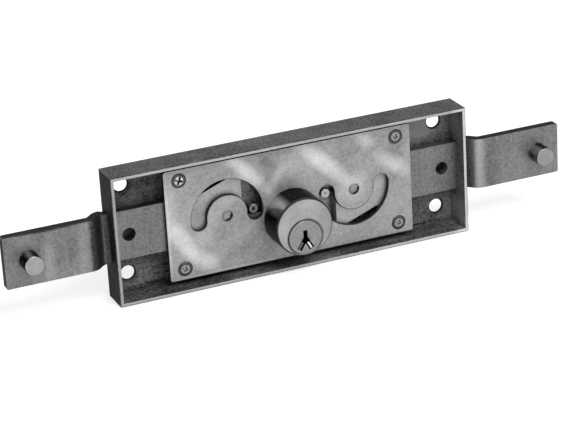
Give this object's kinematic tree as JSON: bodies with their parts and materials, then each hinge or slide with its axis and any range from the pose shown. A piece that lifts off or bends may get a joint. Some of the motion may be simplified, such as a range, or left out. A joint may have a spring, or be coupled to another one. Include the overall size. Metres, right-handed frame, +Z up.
{
  "type": "roller shutter lock",
  "caption": "Flat open steel lock case whose key cylinder turns geared cranks that slide opposed, joggled bolt bars with rod pins outward.",
  "frame": {"origin": "centre of the case's back face, which is also the centre of the fixing hole pattern", "axes": "+X along the bars to the right as seen from the front, +Z up, -Y to the front, where the key goes in"},
  "size_m": [0.244, 0.023, 0.055],
  "materials": {
    "case_steel": "zinc plated, dull",
    "cover_steel": "nickel plated, brushed satin",
    "bar_steel": "zinc plated, drawn",
    "screw_steel": "zinc plated",
    "post_steel": "turned, zinc plated",
    "gear_steel": "stamped, oiled",
    "rod_pin_steel": "turned, polished side",
    "cylinder_nickel": "nickel plated, turned face",
    "plug_nickel": "nickel plated, turned face",
    "pin_brass": "turned",
    "spring_steel": "drawn wire"
  },
  "bodies": {
    "housing": {"case": "case_steel", "cover_plate": "cover_steel", "corner_pillars": "post_steel", "cover_screws": "screw_steel", "crank_washers": "pin_brass", "pinion_bush": "pin_brass", "pivot_post_left": "post_steel", "pivot_post_right": "post_steel", "cylinder_shell": "cylinder_nickel", "cylinder_screws": "screw_steel", "chamber_caps": "cylinder_nickel", "pin_spring_1": "spring_steel", "pin_spring_2": "spring_steel", "pin_spring_3": "spring_steel", "pin_spring_4": "spring_steel", "pin_spring_5": "spring_steel"},
    "key_drive": {"cylinder_plug": "plug_nickel", "plug_clip": "spring_steel", "drive_pinion": "pin_brass"},
    "crank_left": {"crank_gear_left": "gear_steel", "crank_stud_left": "post_steel"},
    "bar_left": {"bolt_bar_left": "bar_steel", "rod_pin_left": "rod_pin_steel"},
    "crank_right": {"crank_gear_right": "gear_steel", "crank_stud_right": "post_steel"},
    "bar_right": {"bolt_bar_right": "bar_steel", "rod_pin_right": "rod_pin_steel"},
    "key_pin_1": {"key_pin_1": "pin_brass"},
    "driver_pin_1": {"driver_pin_1": "pin_brass"},
    "key_pin_2": {"key_pin_2": "pin_brass"},
    "driver_pin_2": {"driver_pin_2": "pin_brass"},
    "key_pin_3": {"key_pin_3": "pin_brass"},
    "driver_pin_3": {"driver_pin_3": "pin_brass"},
    "key_pin_4": {"key_pin_4": "pin_brass"},
    "driver_pin_4": {"driver_pin_4": "pin_brass"},
    "key_pin_5": {"key_pin_5": "pin_brass"},
    "driver_pin_5": {"driver_pin_5": "pin_brass"}
  },
  "joints": [
    {"name": "key_turn", "type": "hinge", "parent": "housing", "child": "key_drive", "pos_m": [0, -0.023, -0.01077], "axis": [0, 1, 0], "range_deg": [0, 360]},
    {"name": "crank_left_turn", "type": "hinge", "parent": "housing", "child": "crank_left", "pos_m": [-0.028, 0, 0], "axis": [0, -1, 0], "range_deg": [0, 180]},
    {"name": "bar_left_slide", "type": "slide", "parent": "housing", "child": "bar_left", "axis": [-1, 0, 0], "range_m": [0, 0.0244]},
    {"name": "crank_right_turn", "type": "hinge", "parent": "housing", "child": "crank_right", "pos_m": [0.028, 0, 0], "axis": [0, -1, 0], "range_deg": [0, 180]},
    {"name": "bar_right_slide", "type": "slide", "parent": "housing", "child": "bar_right", "axis": [1, 0, 0], "range_m": [0, 0.0244]},
    {"name": "key_pin_1_drop", "type": "slide", "parent": "key_drive", "child": "key_pin_1", "axis": [0, 0, -1], "range_m": [0, 0.0014]},
    {"name": "driver_pin_1_lift", "type": "slide", "parent": "housing", "child": "driver_pin_1", "axis": [0, 0, 1], "range_m": [0, 0.0014], "stiffness_N_per_m": 100, "springref_m": -0.003, "deforming": ["pin_spring_1"]},
    {"name": "key_pin_2_drop", "type": "slide", "parent": "key_drive", "child": "key_pin_2", "axis": [0, 0, -1], "range_m": [0, 0.0014]},
    {"name": "driver_pin_2_lift", "type": "slide", "parent": "housing", "child": "driver_pin_2", "axis": [0, 0, 1], "range_m": [0, 0.0014], "stiffness_N_per_m": 100, "springref_m": -0.003, "deforming": ["pin_spring_2"]},
    {"name": "key_pin_3_drop", "type": "slide", "parent": "key_drive", "child": "key_pin_3", "axis": [0, 0, -1], "range_m": [0, 0.0014]},
    {"name": "driver_pin_3_lift", "type": "slide", "parent": "housing", "child": "driver_pin_3", "axis": [0, 0, 1], "range_m": [0, 0.0014], "stiffness_N_per_m": 100, "springref_m": -0.003, "deforming": ["pin_spring_3"]},
    {"name": "key_pin_4_drop", "type": "slide", "parent": "key_drive", "child": "key_pin_4", "axis": [0, 0, -1], "range_m": [0, 0.0014]},
    {"name": "driver_pin_4_lift", "type": "slide", "parent": "housing", "child": "driver_pin_4", "axis": [0, 0, 1], "range_m": [0, 0.0014], "stiffness_N_per_m": 100, "springref_m": -0.003, "deforming": ["pin_spring_4"]},
    {"name": "key_pin_5_drop", "type": "slide", "parent": "key_drive", "child": "key_pin_5", "axis": [0, 0, -1], "range_m": [0, 0.0014]},
    {"name": "driver_pin_5_lift", "type": "slide", "parent": "housing", "child": "driver_pin_5", "axis": [0, 0, 1], "range_m": [0, 0.0014], "stiffness_N_per_m": 100, "springref_m": -0.003, "deforming": ["pin_spring_5"]}
  ],
  "couplings": [
    {"joint": "key_turn", "follows": "bar_left_slide", "rad_per_m": 257.51},
    {"joint": "crank_left_turn", "follows": "bar_left_slide", "rad_per_m": 128.75},
    {"joint": "crank_right_turn", "follows": "bar_left_slide", "rad_per_m": 128.75},
    {"joint": "bar_right_slide", "follows": "bar_left_slide", "ratio": 1}
  ]
}
